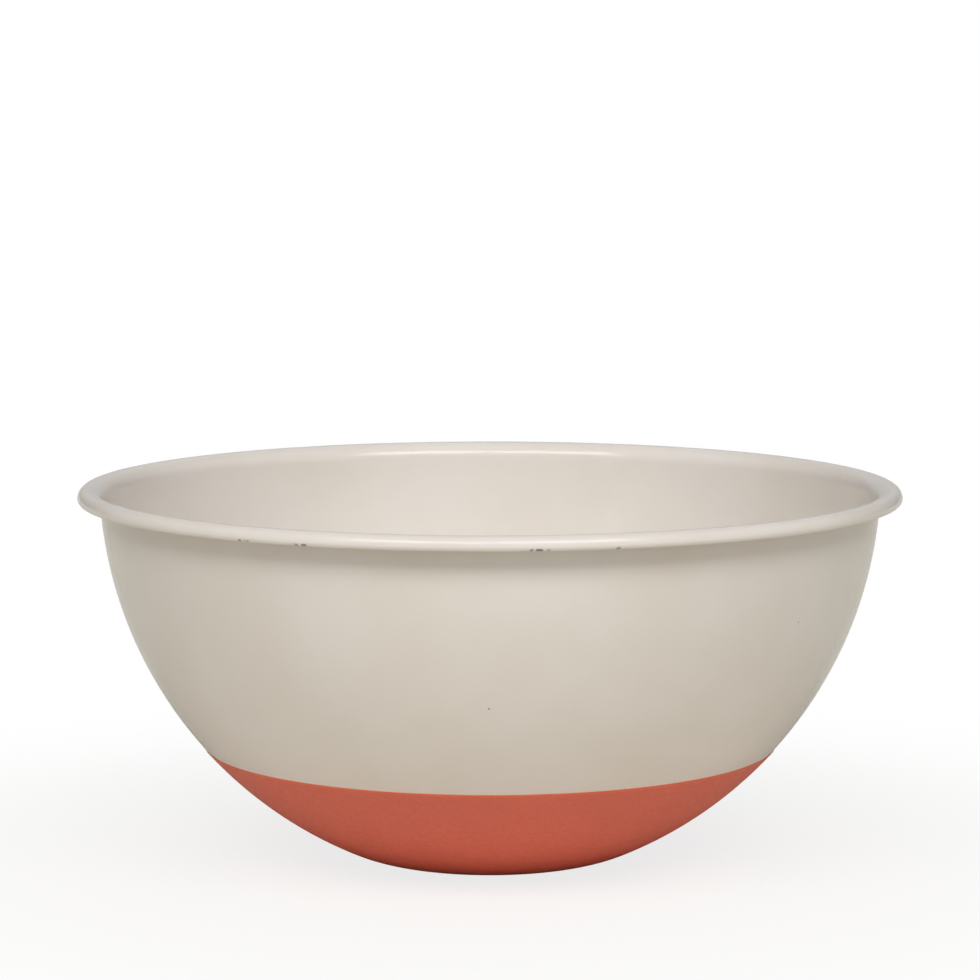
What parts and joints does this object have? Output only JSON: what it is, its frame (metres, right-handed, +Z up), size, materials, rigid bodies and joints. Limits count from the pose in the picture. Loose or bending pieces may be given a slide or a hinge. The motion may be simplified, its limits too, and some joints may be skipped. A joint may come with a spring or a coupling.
{
  "type": "enamel basin bowl",
  "caption": "Round enamelled steel basin bowl with a rolled lip, a flat base and a matt coat over its lower part, for mixing, washing and serving.",
  "frame": {"origin": "centre of the flat base, on the surface that the bowl stands on", "axes": "+Z up along the bowl's axis; the bowl is round, so +X and +Y are alike, and the picture is taken from the -Y side"},
  "size_m": [0.28, 0.28, 0.128],
  "materials": {
    "steel": "bare pressed steel sheet, covered all over",
    "ground_enamel": "dark olive ground enamel, covered apart from small burnt marks",
    "inner_enamel": "glossy cream enamel",
    "outer_enamel": "glossy cream enamel",
    "base_coat": "matt coral coat with a fine grain"
  },
  "bodies": {
    "root": {"steel_bowl": "steel", "inner_ground_coat": "ground_enamel", "outer_ground_coat": "ground_enamel", "inner_enamel": "inner_enamel", "outer_enamel": "outer_enamel", "base_coat": "base_coat"}
  },
  "joints": []
}
